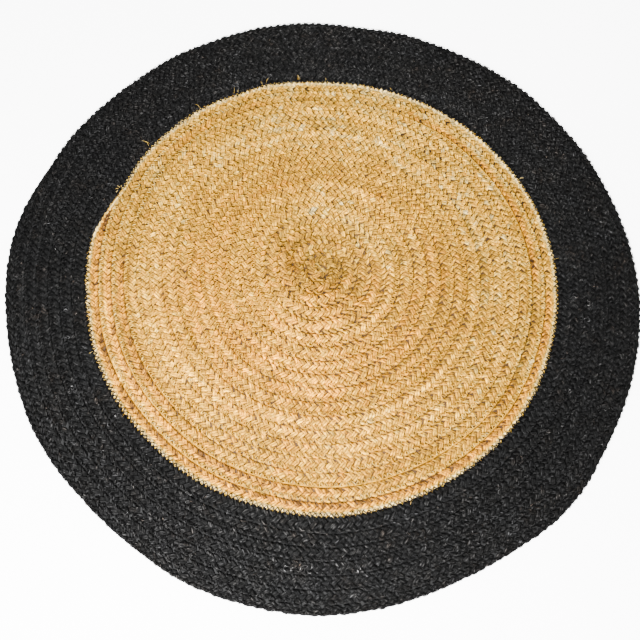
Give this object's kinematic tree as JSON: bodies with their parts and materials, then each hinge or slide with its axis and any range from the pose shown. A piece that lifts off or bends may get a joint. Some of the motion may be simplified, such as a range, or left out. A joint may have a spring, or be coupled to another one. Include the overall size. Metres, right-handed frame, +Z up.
{
  "type": "round jute rug",
  "caption": "Round flat floor rug: one braid coiled outwards from the middle and sewn edge to edge, natural jute with a wide black border.",
  "frame": {"origin": "the middle of the rug's underside, on the floor", "axes": "+Z up out of the rug's face; +X to the right and +Y away from someone who stands at the rug's near edge"},
  "size_m": [1.2079, 1.2051, 0.01],
  "materials": {
    "natural_jute": "matte four-strand plait of undyed jute, golden tan with paler and browner stretches, sewn in a flat coil",
    "black_jute": "matte four-strand plait of black-dyed jute, charcoal with fine grey fibres, sewn in a flat coil"
  },
  "bodies": {
    "root": {"natural_braid_coil": "natural_jute", "black_braid_coil": "black_jute"}
  },
  "joints": []
}
